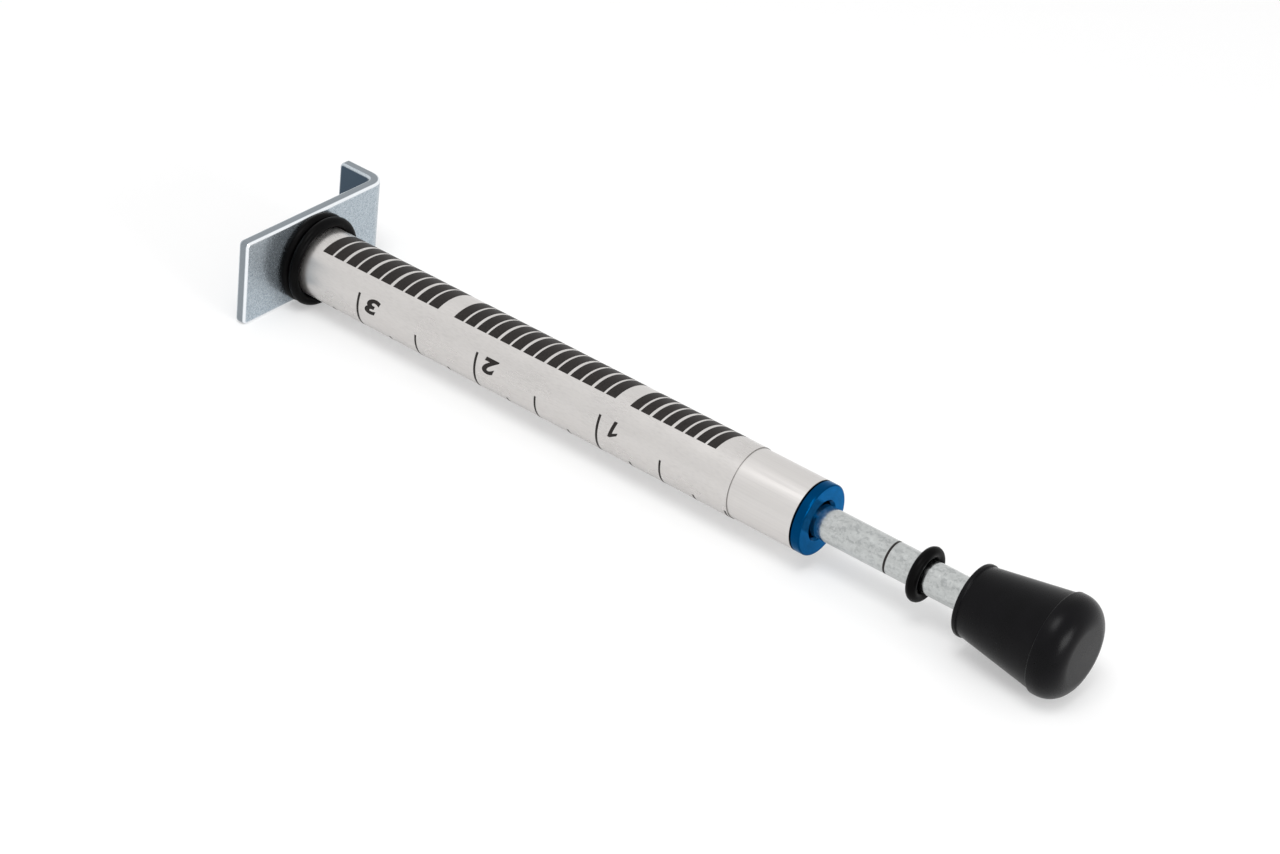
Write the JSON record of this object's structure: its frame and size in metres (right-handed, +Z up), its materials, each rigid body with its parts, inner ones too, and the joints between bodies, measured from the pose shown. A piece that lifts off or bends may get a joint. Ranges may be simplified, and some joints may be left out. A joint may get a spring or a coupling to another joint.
{
  "type": "belt tension tester",
  "caption": "Pencil-type belt tension tester: hooked bracket on a marked barrel, spring-loaded plunger with a rubber tip, and sliding rubber rings that keep the readings.",
  "frame": {"origin": "under the middle of the whole part, on the surface that it lies on", "axes": "+X along the barrel from the bracket to the rubber tip, +Y towards the bracket's flange, +Z up"},
  "size_m": [0.1638, 0.0342, 0.0167],
  "materials": {
    "zinc_plate": "bright zinc plating, bluish, with rounded edges",
    "plain_steel": "plain turned or stamped steel",
    "bare_aluminium": "satin drawn aluminium",
    "label_film": "satin silver film",
    "blue_anodise": "blue anodised, turned",
    "spring_steel": "drawn spring wire",
    "galvanised_rod": "mottled zinc coat",
    "nylon": "natural nylon",
    "tip_rubber": "moulded, satin",
    "ring_rubber": "moulded, slightly glossy"
  },
  "bodies": {
    "barrel": {"belt_bracket": "zinc_plate", "bracket_screw": "plain_steel", "end_plug": "bare_aluminium", "barrel_tube": "bare_aluminium", "scale_label": "label_film", "end_cap": "blue_anodise", "compression_spring": "spring_steel"},
    "plunger": {"plunger_rod": "galvanised_rod", "retaining_clip": "plain_steel", "piston": "nylon", "piston_washer": "plain_steel", "rubber_tip": "tip_rubber", "tip_washer": "plain_steel"},
    "rod_ring": {"rod_marker_ring": "ring_rubber"},
    "rear_ring": {"barrel_marker_ring_rear": "ring_rubber"},
    "front_ring": {"barrel_marker_ring_front": "ring_rubber"}
  },
  "joints": [
    {"name": "plunger_slide", "type": "slide", "parent": "barrel", "child": "plunger", "axis": [-1, 0, 0], "range_m": [0, 0.0155], "stiffness_N_per_m": 2600, "springref_m": -0.0036, "deforming": ["compression_spring"]},
    {"name": "rod_ring_slide", "type": "slide", "parent": "plunger", "child": "rod_ring", "axis": [1, 0, 0], "range_m": [-0.0028, 0.0077]},
    {"name": "rear_ring_slide", "type": "slide", "parent": "barrel", "child": "rear_ring", "axis": [1, 0, 0], "range_m": [0, 0.0448]},
    {"name": "front_ring_slide", "type": "slide", "parent": "rear_ring", "child": "front_ring", "axis": [1, 0, 0], "range_m": [0, 0.0448]}
  ]
}
